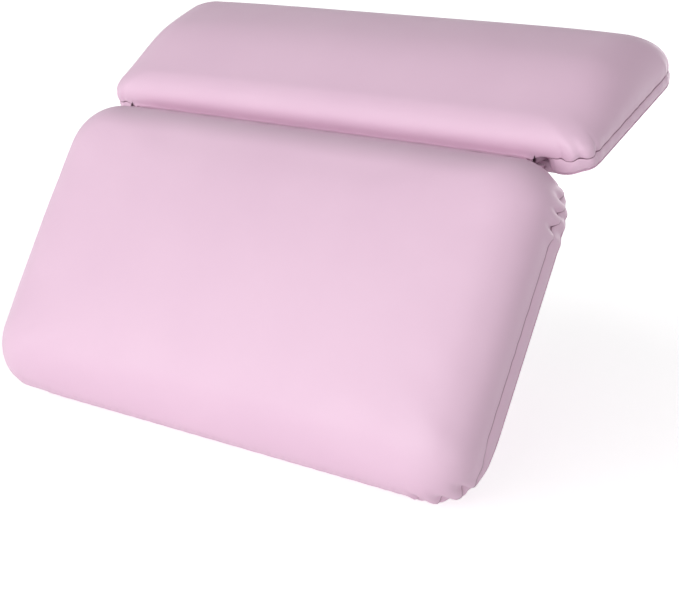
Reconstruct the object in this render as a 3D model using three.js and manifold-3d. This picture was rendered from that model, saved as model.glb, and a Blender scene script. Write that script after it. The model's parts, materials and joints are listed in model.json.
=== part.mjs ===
// Two-panel padded bath pillow, held to a sloping tub wall by suction cups.
// Millimetres, +Z up, +X across the pillow, the padded face towards -Y.
// The origin is the middle of the mouth of the centre cup on the lower panel.
import * as THREE from "three";
import { mergeVertices } from "three/addons/utils/BufferGeometryUtils.js";
import Module from "manifold-3d";

// Pads
const LOWER_WIDTH = 368;
const UPPER_WIDTH = 376;
const LOWER_HEIGHT = 200;
const UPPER_HEIGHT = 118;
const LOWER_CORNER_RADIUS = 31;
const UPPER_CORNER_RADIUS = 17.5;
const CREASE_GAP = 5;
const FOLD_LINE_LEVEL = 2;
const LEAN_DEGREES = 58.5;
const FOLD_DEGREES = 36;

// Padding: the side band runs from the back up to the front seam, low along the sewn crease,
// and the rolled edge from there to the face
const LOWER_BAND_HEIGHT = 12.5;
const UPPER_BAND_HEIGHT = 8;
const CREASE_BAND_HEIGHT = 4;
const CREASE_DIP_LENGTH = 16;
const LOWER_ROLL_RISE = 31.5;
const UPPER_ROLL_RISE = 27.5;
const ROLL_REACH = 30;
const LOWER_CROWN = 10;
const UPPER_CROWN = 6;
const SEAM_DRAW_IN = 1.2;

// How much of its height a pad loses towards the crease, and where, as shares of half its height in plan
const LOWER_THINNING = 0;
const UPPER_THINNING = 0.36;
const THINNING_START = -0.1;
const THINNING_END = 0.95;

// Skins
const COVER_THICKNESS = 1.2;
const SEAM_CLEARANCE = 0.3;
const FOAM_CLEARANCE = 0.4;
const WEB_END_INSET = 26;

// Suction cups: bell, neck and the head that snaps through its eyelet
const CUP_DIAMETER = 50;
const CUP_DEPTH = 12;
const CUP_CROWN_THICKNESS = 2.5;
const CUP_LIP_WIDTH = 2.5;
const CUP_LIP_THICKNESS = 0.8;
const CUP_SHOULDER_DIAMETER = 15;
const CUP_NECK_DIAMETER = 9;
const CUP_HEAD_DIAMETER = 14;
const CUP_HEAD_HEIGHT = 4.5;
const CUP_HEAD_EDGE_HEIGHT = 1.5;
const CUP_BELL_POWER = 1.7;

// Eyelets
const EYELET_DIAMETER = 20;
const EYELET_BARREL_DIAMETER = 15;
const EYELET_FLANGE_THICKNESS = 1.2;
const EYELET_RUNNING_CLEARANCE = 0.45;
const CUP_SEAT_CLEARANCE = 0.3;

// Places of the cups, from the edges of their pad
const CUP_SIDE_INSET = 45;
const CUP_BOTTOM_INSET = 42;
const CUP_CREASE_INSET = 42;

// Facets
const CORNER_STEPS = 5;
const LONG_SIDE_STEPS = 8;
const SHORT_SIDE_STEPS = 5;
const ROLL_STEPS = 6;
const CROWN_RING_SHARES = [0.68, 0.36];
const SMALLEST_CORNER_RADIUS = 2;
const BELL_STEPS = 4;
const CUP_SIDES = 20;
const EYELET_SIDES = 16;
const CUT_OVERLAP = 2;

// Colours
const VINYL = { color: 0xeecbe0, roughness: 0.42, metalness: 0 };
const FOAM = { color: 0xf4f0e2, roughness: 0.95, metalness: 0 };
const CLEAR_VINYL = { color: 0xe6e8ea, roughness: 0.15, metalness: 0 };
const EYELET_PLASTIC = { color: 0xf3e6ee, roughness: 0.5, metalness: 0 };

// Levels through a panel, from the outer face of its back cover
const BACK_INSIDE = COVER_THICKNESS + SEAM_CLEARANCE;
const EYELET_OUTSIDE = -(SEAM_CLEARANCE + EYELET_FLANGE_THICKNESS);
const EYELET_INSIDE = BACK_INSIDE + EYELET_FLANGE_THICKNESS;
const CUP_SHOULDER_LEVEL = EYELET_OUTSIDE - CUP_SEAT_CLEARANCE;
const CUP_MOUTH_LEVEL = CUP_SHOULDER_LEVEL - CUP_DEPTH;
const CUP_HEAD_LEVEL = EYELET_INSIDE + CUP_SEAT_CLEARANCE;
const POCKET_TOP = CUP_HEAD_LEVEL + CUP_HEAD_HEIGHT + FOAM_CLEARANCE;

// The web, and with it the sewn part of the crease, stops short of the sides
const WEB_LENGTH = Math.min(LOWER_WIDTH, UPPER_WIDTH) - 2 * WEB_END_INSET;

const radians = THREE.MathUtils.degToRad;
const wasm = await Module();
wasm.setup();

// The two pads, each in a panel frame with the crease at y = 0 and its outer back face at z = 0
const LOWER_PAD = {
  name: "lower",
  width: LOWER_WIDTH,
  height: LOWER_HEIGHT,
  corner: LOWER_CORNER_RADIUS,
  band: LOWER_BAND_HEIGHT,
  rise: LOWER_ROLL_RISE,
  crown: LOWER_CROWN,
  thinning: LOWER_THINNING,
  middle: -(CREASE_GAP + LOWER_HEIGHT) / 2,
  creaseEnd: 1,
};
const UPPER_PAD = {
  name: "upper",
  width: UPPER_WIDTH,
  height: UPPER_HEIGHT,
  corner: UPPER_CORNER_RADIUS,
  band: UPPER_BAND_HEIGHT,
  rise: UPPER_ROLL_RISE,
  crown: UPPER_CROWN,
  thinning: UPPER_THINNING,
  middle: (CREASE_GAP + UPPER_HEIGHT) / 2,
  creaseEnd: -1,
};

// A rounded rectangle about the pad's middle, anticlockwise, always with the same number of points
function outline(halfWidth, halfHeight, corner) {
  const radius = Math.max(corner, SMALLEST_CORNER_RADIUS);
  const x = halfWidth - radius;
  const y = halfHeight - radius;
  const centres = [[x, y], [-x, y], [-x, -y], [x, -y]];
  const arcPoint = (index, share) => {
    const angle = (index + share) * (Math.PI / 2);
    const [cx, cy] = centres[index % 4];
    return new THREE.Vector2(cx + radius * Math.cos(angle), cy + radius * Math.sin(angle));
  };
  const points = [];
  for (let index = 0; index < 4; index += 1) {
    for (let step = 0; step <= CORNER_STEPS; step += 1) {
      points.push(arcPoint(index, step / CORNER_STEPS));
    }
    const sideSteps = index % 2 === 0 ? LONG_SIDE_STEPS : SHORT_SIDE_STEPS;
    const from = arcPoint(index, 1);
    const to = arcPoint(index + 1, 0);
    for (let step = 1; step < sideSteps; step += 1) {
      points.push(from.clone().lerp(to, step / sideSteps));
    }
  }
  return points;
}

function padOutline(pad, inset) {
  return outline(pad.width / 2 - inset, pad.height / 2 - inset, pad.corner - inset);
}

// Swell of the face over a point of the plan, nothing at the sides and most in the middle
function swell(pad, point) {
  const across = (2 * point.x) / pad.width;
  const along = (2 * point.y) / pad.height;
  return pad.crown * (1 - across * across) * (1 - along * along);
}

// Level of the swollen face over a point of the plan, once the pad has thinned towards its crease
function thinned(pad, point, level) {
  const seam = pad.band + SEAM_CLEARANCE;
  const towardsCrease = (2 * pad.creaseEnd * point.y) / pad.height;
  const share = THREE.MathUtils.smoothstep(towardsCrease, THINNING_START, THINNING_END);
  return seam + (level + swell(pad, point) - seam) * (1 - pad.thinning * share);
}

// Height of the front seam round the outline: past the two corners at the crease it dips to the web
function seamHeights(pad) {
  const { lerp, smoothstep } = THREE.MathUtils;
  return padOutline(pad, 0).map((point) => {
    const fromCrease = pad.height / 2 - pad.creaseEnd * point.y;
    const roundCorner = smoothstep(fromCrease, 0, pad.corner);
    const pastWeb = smoothstep(Math.abs(point.x), WEB_LENGTH / 2 - CREASE_DIP_LENGTH, WEB_LENGTH / 2);
    return lerp(CREASE_BAND_HEIGHT, pad.band, Math.max(roundCorner, pastWeb));
  });
}

// A ring over a plan, at one level all round or at a level for each point
function ring(plan, level) {
  return plan.map((point, index) => {
    const height = Array.isArray(level) ? level[index] : level;
    return new THREE.Vector3(point.x, point.y, height);
  });
}

// Rings of the padded face, from the front seam over the rolled edge to the crown,
// with the whole surface drawn in by an offset, and the point at the top
function faceRings(pad, offset) {
  const faceLevel = pad.band + SEAM_CLEARANCE + pad.rise;
  const seamAngle = Math.acos(1 - SEAM_DRAW_IN / ROLL_REACH);
  const rollHeight = pad.rise / (1 + Math.sin(seamAngle));
  const dips = seamHeights(pad).map((height) => pad.band - height);
  const rings = [];
  for (let step = 0; step <= ROLL_STEPS; step += 1) {
    const angle = (Math.PI / 2 + seamAngle) * (step / ROLL_STEPS) - seamAngle;
    const plan = padOutline(pad, offset + (ROLL_REACH - offset) * (1 - Math.cos(angle)));
    const outside = faceLevel - rollHeight + rollHeight * Math.sin(angle);
    const drawnIn = offset * Math.sin(angle);
    const dip = (index) => (step === 0 ? dips[index] : 0);
    rings.push(ring(plan, plan.map((point, index) => thinned(pad, point, outside) - drawnIn - dip(index))));
  }
  const flatWidth = pad.width / 2 - ROLL_REACH;
  const flatHeight = pad.height / 2 - ROLL_REACH;
  const flatCorner = Math.max(pad.corner - ROLL_REACH, SMALLEST_CORNER_RADIUS);
  for (const share of CROWN_RING_SHARES) {
    const plan = outline(flatWidth * share, flatHeight * share, flatCorner);
    rings.push(ring(plan, plan.map((point) => thinned(pad, point, faceLevel) - offset)));
  }
  const summit = new THREE.Vector2(0, 0);
  const top = new THREE.Vector3(summit.x, summit.y, thinned(pad, summit, faceLevel) - offset);
  return { rings, top };
}

function surface(points, triangles) {
  const geometry = new THREE.BufferGeometry();
  const positions = points.flatMap((p) => [p.x, p.y, p.z]);
  geometry.setAttribute("position", new THREE.Float32BufferAttribute(positions, 3));
  geometry.setIndex(triangles);
  geometry.computeVertexNormals();
  return geometry;
}

// Two triangles for each step round a pair of rings that start at the given points
function stripBetween(low, high, count) {
  const triangles = [];
  for (let column = 0; column < count; column += 1) {
    const next = (column + 1) % count;
    triangles.push(low + column, low + next, high + next);
    triangles.push(low + column, high + next, high + column);
  }
  return triangles;
}

// Closed skin through rings of equal length, with a fan to a point at each end
function loft(rings, first, last) {
  const count = rings[0].length;
  const start = (row) => 1 + row * count;
  const end = start(rings.length);
  const triangles = [];
  for (let row = 0; row + 1 < rings.length; row += 1) {
    triangles.push(...stripBetween(start(row), start(row + 1), count));
  }
  for (let column = 0; column < count; column += 1) {
    const next = (column + 1) % count;
    triangles.push(0, start(0) + next, start(0) + column);
    triangles.push(start(rings.length - 1) + column, start(rings.length - 1) + next, end);
  }
  return surface([first, ...rings.flat(), last], triangles);
}

// Closed skin through rings of equal length, the last joined to the first
function hoop(rings) {
  const count = rings[0].length;
  const triangles = rings.flatMap((_, row) =>
    stripBetween(row * count, ((row + 1) % rings.length) * count, count),
  );
  return surface(rings.flat(), triangles);
}

function extruded(points, holes, low, high) {
  const shape = new THREE.Shape(points);
  shape.holes = holes.map((hole) => new THREE.Path(hole));
  const geometry = new THREE.ExtrudeGeometry(shape, { depth: high - low, bevelEnabled: false });
  return geometry.translate(0, 0, low);
}

// A profile of [radius, level] points turned about the Z axis
function turned(profile, sides) {
  const points = profile.map(([radius, level]) => new THREE.Vector2(radius, level));
  return new THREE.LatheGeometry(points, sides).rotateX(Math.PI / 2);
}

function toSolid(geometry) {
  const bare = geometry.clone();
  bare.deleteAttribute("normal");
  bare.deleteAttribute("uv");
  const merged = mergeVertices(bare);
  const vertProperties = new Float32Array(merged.attributes.position.array);
  const triVerts = new Uint32Array(merged.index.array);
  return new wasm.Manifold(new wasm.Mesh({ numProp: 3, vertProperties, triVerts }));
}

function toGeometry(solid) {
  const { vertProperties, triVerts } = solid.getMesh();
  const geometry = new THREE.BufferGeometry();
  geometry.setAttribute("position", new THREE.Float32BufferAttribute(vertProperties, 3));
  geometry.setIndex(Array.from(triVerts));
  geometry.computeVertexNormals();
  return geometry;
}

function circle(middle, diameter, sides) {
  return Array.from({ length: sides }, (_, side) => {
    const angle = (2 * Math.PI * side) / sides;
    const radius = diameter / 2;
    return new THREE.Vector2(middle.x + radius * Math.cos(angle), middle.y + radius * Math.sin(angle));
  });
}

// Places of the cups about the middle of each pad
function cupPlaces(pad) {
  const side = pad.width / 2 - CUP_SIDE_INSET;
  if (pad === UPPER_PAD) {
    return {
      left: new THREE.Vector2(-side, 0),
      right: new THREE.Vector2(side, 0),
    };
  }
  const bottom = CUP_BOTTOM_INSET - pad.height / 2;
  const top = pad.height / 2 - CUP_CREASE_INSET;
  return {
    bottom_left: new THREE.Vector2(-side, bottom),
    bottom_right: new THREE.Vector2(side, bottom),
    top_left: new THREE.Vector2(-side, top),
    top_right: new THREE.Vector2(side, top),
    centre: new THREE.Vector2(0, 0),
  };
}

// Thin crowned skin over the padding, open at the front seam
function frontCover(pad) {
  const outside = faceRings(pad, 0);
  const inside = faceRings(pad, COVER_THICKNESS);
  return loft([...inside.rings.reverse(), ...outside.rings], inside.top, outside.top);
}

// Boxing strip round the sides, between the back cover and the front seam
function sideBand(pad) {
  const outer = padOutline(pad, SEAM_DRAW_IN);
  const inner = padOutline(pad, SEAM_DRAW_IN + COVER_THICKNESS);
  const tops = seamHeights(pad);
  return hoop([ring(outer, BACK_INSIDE), ring(outer, tops), ring(inner, tops), ring(inner, BACK_INSIDE)]);
}

// Flat skin of the back, with a hole for each eyelet
function backCover(pad) {
  const holeDiameter = EYELET_BARREL_DIAMETER + 2 * SEAM_CLEARANCE;
  const holes = Object.values(cupPlaces(pad)).map((place) => circle(place, holeDiameter, EYELET_SIDES));
  return extruded(padOutline(pad, SEAM_DRAW_IN), holes, 0, COVER_THICKNESS);
}

// Foam block that fills the skins, with a pocket over each eyelet and cup head
function foamCore(pad) {
  const face = faceRings(pad, COVER_THICKNESS + FOAM_CLEARANCE);
  const waist = padOutline(pad, SEAM_DRAW_IN + COVER_THICKNESS + FOAM_CLEARANCE);
  const bottom = COVER_THICKNESS + FOAM_CLEARANCE;
  const rings = [ring(waist, bottom), ring(waist, seamHeights(pad)), ...face.rings];
  const block = loft(rings, new THREE.Vector3(0, 0, bottom), face.top);
  const pocketRadius = Math.max(EYELET_DIAMETER, CUP_HEAD_DIAMETER) / 2 + FOAM_CLEARANCE;
  const pocketLow = bottom - CUT_OVERLAP;
  const pocket = turned(
    [[0, pocketLow], [pocketRadius, pocketLow], [pocketRadius, POCKET_TOP], [0, POCKET_TOP]],
    EYELET_SIDES,
  );
  let solid = toSolid(block);
  for (const place of Object.values(cupPlaces(pad))) {
    solid = solid.subtract(toSolid(pocket.clone().translate(place.x, place.y, 0)));
  }
  return toGeometry(solid);
}

// Flanged ring pressed into the back cover, which the cup's neck runs through
function eyelet() {
  const bore = CUP_NECK_DIAMETER / 2 + EYELET_RUNNING_CLEARANCE;
  const barrel = EYELET_BARREL_DIAMETER / 2;
  const flange = EYELET_DIAMETER / 2;
  return turned(
    [
      [bore, EYELET_OUTSIDE],
      [flange, EYELET_OUTSIDE],
      [flange, -SEAM_CLEARANCE],
      [barrel, -SEAM_CLEARANCE],
      [barrel, BACK_INSIDE],
      [flange, BACK_INSIDE],
      [flange, EYELET_INSIDE],
      [bore, EYELET_INSIDE],
      [bore, EYELET_OUTSIDE],
    ],
    EYELET_SIDES,
  );
}

// Soft cup with a domed bell, a flat sealing lip, a neck and a mushroom head
function suctionCup() {
  const rim = CUP_DIAMETER / 2;
  const mouth = rim - CUP_LIP_WIDTH;
  const shoulder = CUP_SHOULDER_DIAMETER / 2;
  const neck = CUP_NECK_DIAMETER / 2;
  const head = CUP_HEAD_DIAMETER / 2;
  const hollow = CUP_DEPTH - CUP_CROWN_THICKNESS;
  const lipTop = CUP_MOUTH_LEVEL + CUP_LIP_THICKNESS;
  const profile = [];
  for (let step = 0; step <= BELL_STEPS; step += 1) {
    const share = step / BELL_STEPS;
    profile.push([mouth * share, CUP_MOUTH_LEVEL + hollow * (1 - share ** CUP_BELL_POWER)]);
  }
  profile.push([rim, CUP_MOUTH_LEVEL]);
  for (let step = BELL_STEPS; step >= 0; step -= 1) {
    const share = step / BELL_STEPS;
    const drop = (CUP_SHOULDER_LEVEL - lipTop) * share ** CUP_BELL_POWER;
    profile.push([shoulder + (rim - shoulder) * share, CUP_SHOULDER_LEVEL - drop]);
  }
  profile.push(
    [neck, CUP_SHOULDER_LEVEL],
    [neck, CUP_HEAD_LEVEL],
    [head, CUP_HEAD_LEVEL],
    [head, CUP_HEAD_LEVEL + CUP_HEAD_EDGE_HEIGHT],
    [neck, CUP_HEAD_LEVEL + CUP_HEAD_HEIGHT],
    [0, CUP_HEAD_LEVEL + CUP_HEAD_HEIGHT],
  );
  return turned(profile, CUP_SIDES);
}

// Strip of skin across the crease at the back of both pads, bent on the fold line
function hingeWeb() {
  const half = COVER_THICKNESS / 2;
  const leg = CREASE_GAP / 2 + SEAM_DRAW_IN - SEAM_CLEARANCE;
  const fold = radians(FOLD_DEGREES);
  const mitre = half / Math.cos(fold / 2);
  const tip = (level) =>
    new THREE.Vector2(leg, level).rotateAround(new THREE.Vector2(0, 0), -fold);
  const bend = (side) =>
    new THREE.Vector2(0, side * mitre).rotateAround(new THREE.Vector2(0, 0), -fold / 2);
  const section = [
    new THREE.Vector2(-leg, -half),
    bend(-1),
    tip(-half),
    tip(half),
    bend(1),
    new THREE.Vector2(-leg, half),
  ];
  const shape = new THREE.Shape(section);
  const strip = new THREE.ExtrudeGeometry(shape, { depth: WEB_LENGTH, bevelEnabled: false });
  strip.translate(0, 0, -WEB_LENGTH / 2);
  strip.rotateZ(Math.PI / 2).rotateY(Math.PI / 2);
  return strip.translate(0, 0, FOLD_LINE_LEVEL);
}

function piece(name, geometry, finish) {
  const mesh = new THREE.Mesh(geometry, new THREE.MeshStandardMaterial(finish));
  mesh.name = name;
  return mesh;
}

// All the pieces of one pad, about the pad's middle
function padGroup(pad) {
  const group = new THREE.Group();
  group.add(
    piece(`${pad.name}_front_cover`, frontCover(pad), VINYL),
    piece(`${pad.name}_side_band`, sideBand(pad), VINYL),
    piece(`${pad.name}_back_cover`, backCover(pad), VINYL),
    piece(`${pad.name}_foam_core`, foamCore(pad), FOAM),
  );
  for (const [placeName, place] of Object.entries(cupPlaces(pad))) {
    const ringPiece = piece(`${pad.name}_eyelet_${placeName}`, eyelet(), EYELET_PLASTIC);
    const cupPiece = piece(`${pad.name}_cup_${placeName}`, suctionCup(), CLEAR_VINYL);
    ringPiece.position.set(place.x, place.y, 0);
    cupPiece.position.set(place.x, place.y, 0);
    group.add(ringPiece, cupPiece);
  }
  group.position.y = pad.middle;
  return group;
}

// The upper panel turns about the fold line, the lower panel leans on the tub wall
const upperPanel = new THREE.Group();
const upperPad = padGroup(UPPER_PAD);
upperPad.position.z = -FOLD_LINE_LEVEL;
upperPanel.add(upperPad);
upperPanel.position.z = FOLD_LINE_LEVEL;
upperPanel.rotation.x = -radians(FOLD_DEGREES);

const lowerPanel = new THREE.Group();
lowerPanel.add(padGroup(LOWER_PAD), piece("hinge_web", hingeWeb(), VINYL), upperPanel);
lowerPanel.rotation.x = radians(LEAN_DEGREES);
const centreCupMouth = new THREE.Vector3(0, LOWER_PAD.middle, CUP_MOUTH_LEVEL);
lowerPanel.position.copy(centreCupMouth.applyEuler(lowerPanel.rotation).negate());

const bathPillow = new THREE.Group();
bathPillow.add(lowerPanel);

export default bathPillow;
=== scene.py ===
import json
import math
import bpy
import numpy as np
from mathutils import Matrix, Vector
from mathutils.geometry import delaunay_2d_cdt
from mathutils.kdtree import KDTree

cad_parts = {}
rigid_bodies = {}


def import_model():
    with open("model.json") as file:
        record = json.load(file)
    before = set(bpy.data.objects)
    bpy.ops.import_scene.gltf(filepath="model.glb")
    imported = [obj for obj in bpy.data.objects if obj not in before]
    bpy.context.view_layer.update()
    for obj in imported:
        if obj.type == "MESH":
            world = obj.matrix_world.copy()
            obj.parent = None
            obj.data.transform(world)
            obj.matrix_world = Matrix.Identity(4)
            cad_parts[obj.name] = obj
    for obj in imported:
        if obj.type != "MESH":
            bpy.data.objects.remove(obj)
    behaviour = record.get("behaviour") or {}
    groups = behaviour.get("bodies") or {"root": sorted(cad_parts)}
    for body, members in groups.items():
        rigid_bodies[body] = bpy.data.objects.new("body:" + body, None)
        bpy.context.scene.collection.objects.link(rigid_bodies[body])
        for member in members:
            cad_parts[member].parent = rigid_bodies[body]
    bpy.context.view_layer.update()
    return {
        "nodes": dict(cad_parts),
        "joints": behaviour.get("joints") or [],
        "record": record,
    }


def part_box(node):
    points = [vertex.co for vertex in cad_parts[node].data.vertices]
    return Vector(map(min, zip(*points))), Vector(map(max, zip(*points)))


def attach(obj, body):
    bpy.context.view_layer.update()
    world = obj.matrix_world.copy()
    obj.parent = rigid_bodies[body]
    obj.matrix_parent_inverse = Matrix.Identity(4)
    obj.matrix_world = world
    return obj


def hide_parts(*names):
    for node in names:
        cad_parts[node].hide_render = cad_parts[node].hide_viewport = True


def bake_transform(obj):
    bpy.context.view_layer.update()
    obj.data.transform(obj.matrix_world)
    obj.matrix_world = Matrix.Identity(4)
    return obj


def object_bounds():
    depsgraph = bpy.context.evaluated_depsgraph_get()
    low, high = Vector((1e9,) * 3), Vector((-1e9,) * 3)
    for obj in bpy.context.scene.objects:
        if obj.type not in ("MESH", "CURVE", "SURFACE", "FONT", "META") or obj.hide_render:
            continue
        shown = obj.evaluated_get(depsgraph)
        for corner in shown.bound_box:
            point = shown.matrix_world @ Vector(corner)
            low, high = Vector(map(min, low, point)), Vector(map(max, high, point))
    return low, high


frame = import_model()

# Lengths are in metres, but those of the cups, the eyelets and the pads' corners in millimetres
MM = 0.001

# Pads: plan and section of the padded skin
ROLL_REACH = 30 * MM
ROLL_START = 1.6 * MM
SEAM_DRAW_IN = 0.6 * MM
SKIN = 1.1 * MM
FOLD_LEVEL = 2 * MM
FOAM_BOTTOM = 7.9 * MM
UNDERSIDE_INSET = 14 * MM
EAR_RANGE = (-0.9, 0.9)
EAR_POWER = 3
TAPER_RANGE = (-0.1, 0.95)
FULLNESS_POWER = 4
SAG_POWER = 6

# Hem of the padded skin: how far each row is drawn in behind the seam and how far it stands above it
HEM = ((2.6 * MM, -0.2 * MM), (1.4 * MM, 0.0), (0.5 * MM, 0.06 * MM), (0.12 * MM, 0.3 * MM))

# Crease edge of the pads: its dip along the web, and the notch and drape of the bands at its right end
CREASE_SEAM_LEVEL = 3.2 * MM
CREASE_FLARE = 2.8 * MM
CREASE_EDGE_FADE = 4 * MM
CREASE_DIP_LENGTH = 14 * MM
LEFT_DIP_EXTRA = 14 * MM
WEB_END_INSET = 26 * MM
NOTCH_PLACE = 156.5 * MM
NOTCH_HALF = 5 * MM
NOTCH_DEPTH = 9 * MM
DRAPE_PLACE = 171 * MM
DRAPE_HALF = 8 * MM

# Seam: a groove, scallops round the corners, a faint ripple everywhere, and painted shade that fades out
# within a short way of it
GROOVE_HALF = 0.06 * MM
PAINTED_SHADE_FADE = 0.25 * MM
SINK_FADE = 30 * MM
TUCK_SHARE = 0.3
GATHER_FADE_IN = 2 * MM
GATHER_FADE_OUT = 4 * MM
GATHER_STRAY = 0.4
GATHER_STRAY_RATE = 2.6
BULGE_SHARE = 0.45
BULGE_OUT = 1.1
BULGE_FADE = 9 * MM
PINCH_SHARE = 1.2
PINCH_SHARPNESS = 1.8
PINCH_IN = 1.3
PINCH_FADE = 11 * MM
DROP_FADE = 6 * MM
RIPPLE_PITCH = 11 * MM
RIPPLE_DEPTH = 0.15 * MM
RIPPLE_FADE = 6 * MM
RIPPLE_STRAY = 1.9
RIPPLE_STRAY_SPAN = 5.3

# Columns and rows of the pads
ARC_STEPS = 40
LONG_STEPS = 84
SHORT_STEPS = 44
END_DENSITY = 0.62
WALL_ROWS = 4
ROLL_ROWS = 26
ROLL_GRADING = 1.15
CROWN_SHARES = np.linspace(0.96, 0.04, 15)

# Cloth settling of the pads
SETTLE_FRAMES = 20
SETTLE_PRESSURE = 4.0
SETTLE_CAP = 1.6 * MM
SETTLE_VOXEL = 5 * MM
SETTLE_SPREAD = 1.6 * SETTLE_VOXEL
SETTLE_NEIGHBOURS = 16
LEAST_WEIGHT = 1e-9
SETTLE_HELD = 3 * MM
SETTLE_FREE = 5 * SETTLE_HELD

# Side bands: their section, and how far they and their feet follow the gathers of the seam
BAND_FOOT_DROP = 0.45 * MM
BAND_CREASE_LEVEL = 2.6 * MM
BAND_BULGE = 0.55 * MM
BAND_STEPS = 8
BAND_FOLLOW = 0.7
FOOT_FOLLOW = 0.6

# Turned edges of the bands, row by row: inset, share of the height, turn and painted shade, which
# darkens the band's top edge as the shade in the seam groove
BAND_FOOT = ((1.9 * MM, 0, 0.0, 0), (0.45 * MM, 0, 0.05 * MM, 0))
BAND_TOP = (
    (0.05 * MM, 1, -0.3 * MM, 0),
    (0.22 * MM, 1, -0.06 * MM, 0.5),
    (0.6 * MM, 1, 0.0, 1),
    (1.9 * MM, 1, -0.05 * MM, 1),
    (2.1 * MM, 0.8, 0.0, 0),
    (2.1 * MM, 0.2, 0.0, 0),
)

# Backs, with rings of points round each hole
BACK_INSET = 2.2 * MM
BACK_THICKNESS = 0.8 * MM
BACK_BULGE = 0.5 * MM
BACK_PITCH = 7 * MM
BACK_MARGIN = 8 * MM
DIMPLE_DEPTH = 0.35 * MM
DIMPLE_REACH = 15 * MM
HOLE_RADIUS = 7.8 * MM
HOLE_RINGS = (HOLE_RADIUS, 9.5 * MM, 11.5 * MM, 14 * MM, 18 * MM, 23 * MM)
HOLE_STEPS = 32
HOLE_MARGIN = 3 * MM
JOINED_WITHIN = 1e-7

# Rolled rim of the backs, row by row: inset and level
BACK_RIM = (
    (0.9 * MM, 0.02 * MM),
    (0.45 * MM, 0.1 * MM),
    (0.2 * MM, 0.3 * MM),
    (0.2 * MM, 0.5 * MM),
    (0.5 * MM, 0.75 * MM),
    (1.4 * MM, 0.85 * MM),
)

# Hinge web
WEB_HALF = 3.3 * MM
WEB_COLUMNS = 90
WEB_ROWS = 15
WEB_BEND = 0.7
# Painted shade over the whole web, which lies in shade between the pads
WEB_PAINTED_SHADE = 0.3

# Front of the crease, with painted shade over it that is deepest along the stitched line, and the thread
# that ties off its ends
CREASE_COLUMNS = 150
CREASE_ROWS = 12
CREASE_ENDS = (153 * MM, -167 * MM)
CREASE_DEPTH = 7 * MM
CREASE_HOLDS = {"lower": 15 * MM, "upper": 10 * MM}
CREASE_REACH = 3.7 * MM
CREASE_PULL = 5 * MM
CREASE_FLAT = 1.2 * MM
CREASE_WAVER = 0.35 * MM
CREASE_WAVER_LENGTH = 5.1 * MM
CREASE_STRAY = 2.2
CREASE_STRAY_LENGTH = 23 * MM
CREASE_END_SINK = 3.5 * MM
CREASE_END_LENGTH = 9 * MM
CREASE_PAINTED_SHADE = 0.2
CREASE_SHADE_LINE_HALF = 1.6
TACKS = (148 * MM, -160 * MM, -165 * MM)
TACK_HALF = 2 * MM
TACK_THICKNESS = 1 * MM
TACK_STEPS = 10
TACK_ROWS = 9

# Places among the points of a crease section, which starts with its underside: stitched line and thread
CREASE_LINE = 3 * CREASE_ROWS - 2.5
TACK_POINT = 2 * CREASE_ROWS + 5

# Cups: radii, and heights above the mouth of the cup
TURN_STEPS = 56
CUP_STEPS = 14
CUP_CURVE = 1.7
CUP_LIP = ((23.6, 0.0), (24.6, 0.05), (25, 0.4))
HOLLOW_RADIUS = 22.5
HOLLOW_DEPTH = 9.5
BELL_RADIUS = 25
BELL_FOOT = 0.8
SHOULDER_RADIUS = 7.5
SHOULDER_HEIGHT = 12
NECK_RADIUS = 4.5
HEAD_RADIUS = 7
HEAD_FOOT = 16.8
HEAD_EDGE = 18.3
HEAD_TOP = 21.3
HEAD_ROUNDING = 0.7

# The most of a profile's side that a rounding takes up, and its points
ROUNDED_SHARE = 1 / 2.2
ROUNDED_STEPS = 4

# Eyelets: radii, and the heights of their two flanges
EYELET_BORE = 4.95
EYELET_SLEEVE = 7.5
EYELET_FLANGE = 10
OUTER_FLANGE = (12.3, 13.5)
INNER_FLANGE = (15.3, 16.5)
EYELET_ROUNDING = 0.5

# Colours, two shades to be clouded together for each material
VINYL_SHADES = ((0.793, 0.546, 0.697), (0.818, 0.570, 0.719))
# Painted shade: the colour that seams, the crease, the web and the tying thread are taken towards,
# standing in for the shade in grooves and between the pads
PAINTED_SEAM_SHADE = (0.33, 0.17, 0.25)
CLEAR_SHADES = ((0.90, 0.92, 0.93), (0.97, 0.98, 0.98))
PLASTIC_SHADES = ((0.82, 0.60, 0.72), (0.86, 0.66, 0.77))
FLOOR_SHADES = ((0.90, 0.90, 0.90), (0.92, 0.92, 0.92))
WHITE = (1, 1, 1, 1)

# Noise textures gather about their middle, between these two values
NOISE_RANGE = (0.3, 0.7)

# Stage: lamps have a place, an aim, a size and a power, and the floor's lift grows with the distance
LAMPS = {
    "key": ((-0.9, -1.5, 0.35), (0, 0, 0.02), 1.4, 13.3),
    "front": ((0.2, -1.75, 0.35), (0, 0, 0.02), 1.4, 16),
    "fill": ((1.5, -0.9, 0.13), (0, 0, 0.02), 0.4, 2.5),
    "back": ((0.4, 1.8, 0.25), (0, 0, 0.0), 1.4, 12),
}
WORLD_STRENGTH = 0.3
FLOOR_HALF = 6.0
FLOOR_DROP = 1 * MM
FLOOR_LIFT = (0.54, 0.85)
FLOOR_LIFT_REACH = (0.3, 0.8)

# Camera
CAMERA_TARGET = Vector((0.03062, 0.01534, -0.00427))
CAMERA_AZIMUTH = math.radians(36.91)
CAMERA_ELEVATION = math.radians(16.44)
CAMERA_DISTANCE = 1.0
LENS = 84.43
SENSOR_WIDTH = 36

# Direction across both panels, along the crease
ACROSS = np.array([1.0, 0.0, 0.0])

# From the frame
MOUNTS = {mount["name"]: mount for mount in frame["record"]["mounts"]}
FOLD_POINT = np.array(next(j["pos_m"] for j in frame["joints"] if j["name"] == "panel_fold"))
SWIVELS = [joint for joint in frame["joints"] if joint["name"].endswith("_swivel")]
LOWER_HALF_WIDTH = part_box("lower_front_cover")[1][0]

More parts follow.
